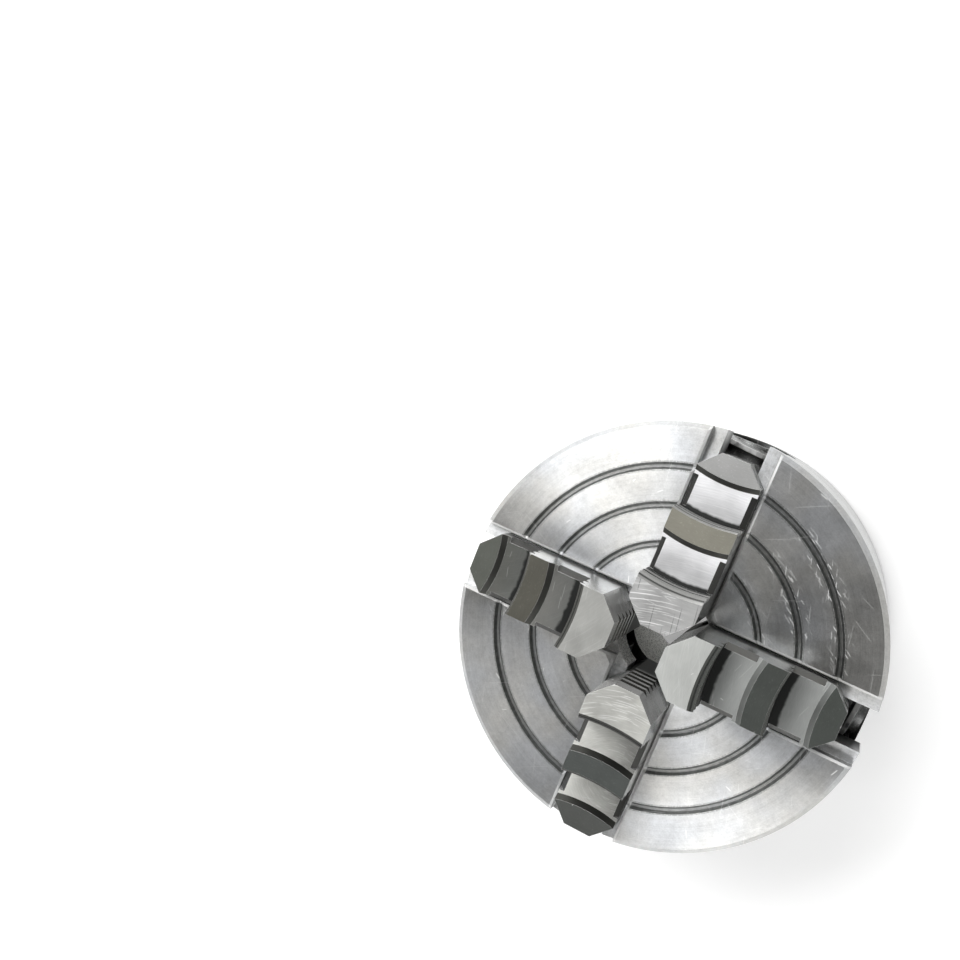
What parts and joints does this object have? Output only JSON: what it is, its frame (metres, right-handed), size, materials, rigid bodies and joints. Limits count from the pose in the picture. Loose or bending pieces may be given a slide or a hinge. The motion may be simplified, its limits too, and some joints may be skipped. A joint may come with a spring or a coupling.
{
  "type": "independent lathe chuck",
  "caption": "Independent-jaw lathe chuck: round slotted body with ring grooves and stepped reversible jaws, each moved by its own radial screw with a square socket.",
  "frame": {"origin": "centre of the flat back mounting face, on the chuck axis", "axes": "+Z along the chuck axis from the back to the jaws; +X along jaw 1's slot; +Y along jaw 2's slot"},
  "size_m": [0.1, 0.1, 0.075],
  "materials": {
    "body_steel": "fine turned, bright",
    "jaw_steel": "hardened and ground",
    "screw_black": "black oxide with oil",
    "yoke_steel": "turned"
  },
  "bodies": {
    "chuck": {"body": "body_steel", "yoke_1": "yoke_steel", "yoke_2": "yoke_steel", "yoke_3": "yoke_steel", "yoke_4": "yoke_steel"},
    "jaw_slide_1": {"jaw_1": "jaw_steel"},
    "operating_screw_1": {"jaw_screw_1": "screw_black"},
    "jaw_slide_2": {"jaw_2": "jaw_steel"},
    "operating_screw_2": {"jaw_screw_2": "screw_black"},
    "jaw_slide_3": {"jaw_3": "jaw_steel"},
    "operating_screw_3": {"jaw_screw_3": "screw_black"},
    "jaw_slide_4": {"jaw_4": "jaw_steel"},
    "operating_screw_4": {"jaw_screw_4": "screw_black"}
  },
  "joints": [
    {"name": "jaw_1_travel", "type": "slide", "parent": "chuck", "child": "jaw_slide_1", "axis": [1, 0, 0], "range_m": [-0.0008, 0.0201]},
    {"name": "screw_1_turn", "type": "hinge", "parent": "chuck", "child": "operating_screw_1", "pos_m": [0.04, 0, 0.0277], "axis": [1, 0, 0], "range_deg": [-74, 1811]},
    {"name": "jaw_2_travel", "type": "slide", "parent": "chuck", "child": "jaw_slide_2", "axis": [0, 1, 0], "range_m": [-0.0019, 0.019]},
    {"name": "screw_2_turn", "type": "hinge", "parent": "chuck", "child": "operating_screw_2", "pos_m": [0, 0.04, 0.0277], "axis": [0, 1, 0], "range_deg": [-173, 1712]},
    {"name": "jaw_3_travel", "type": "slide", "parent": "chuck", "child": "jaw_slide_3", "axis": [-1, 0, 0], "range_m": [-0.005, 0.0159]},
    {"name": "screw_3_turn", "type": "hinge", "parent": "chuck", "child": "operating_screw_3", "pos_m": [-0.04, 0, 0.0277], "axis": [-1, 0, 0], "range_deg": [-452, 1433]},
    {"name": "jaw_4_travel", "type": "slide", "parent": "chuck", "child": "jaw_slide_4", "axis": [0, -1, 0], "range_m": [-0.0061, 0.0148]},
    {"name": "screw_4_turn", "type": "hinge", "parent": "chuck", "child": "operating_screw_4", "pos_m": [0, -0.04, 0.0277], "axis": [0, -1, 0], "range_deg": [-551, 1334]}
  ],
  "couplings": [
    {"joint": "screw_1_turn", "follows": "jaw_1_travel", "rad_per_m": 1570.8},
    {"joint": "screw_2_turn", "follows": "jaw_2_travel", "rad_per_m": 1570.8},
    {"joint": "screw_3_turn", "follows": "jaw_3_travel", "rad_per_m": 1570.8},
    {"joint": "screw_4_turn", "follows": "jaw_4_travel", "rad_per_m": 1570.8}
  ]
}
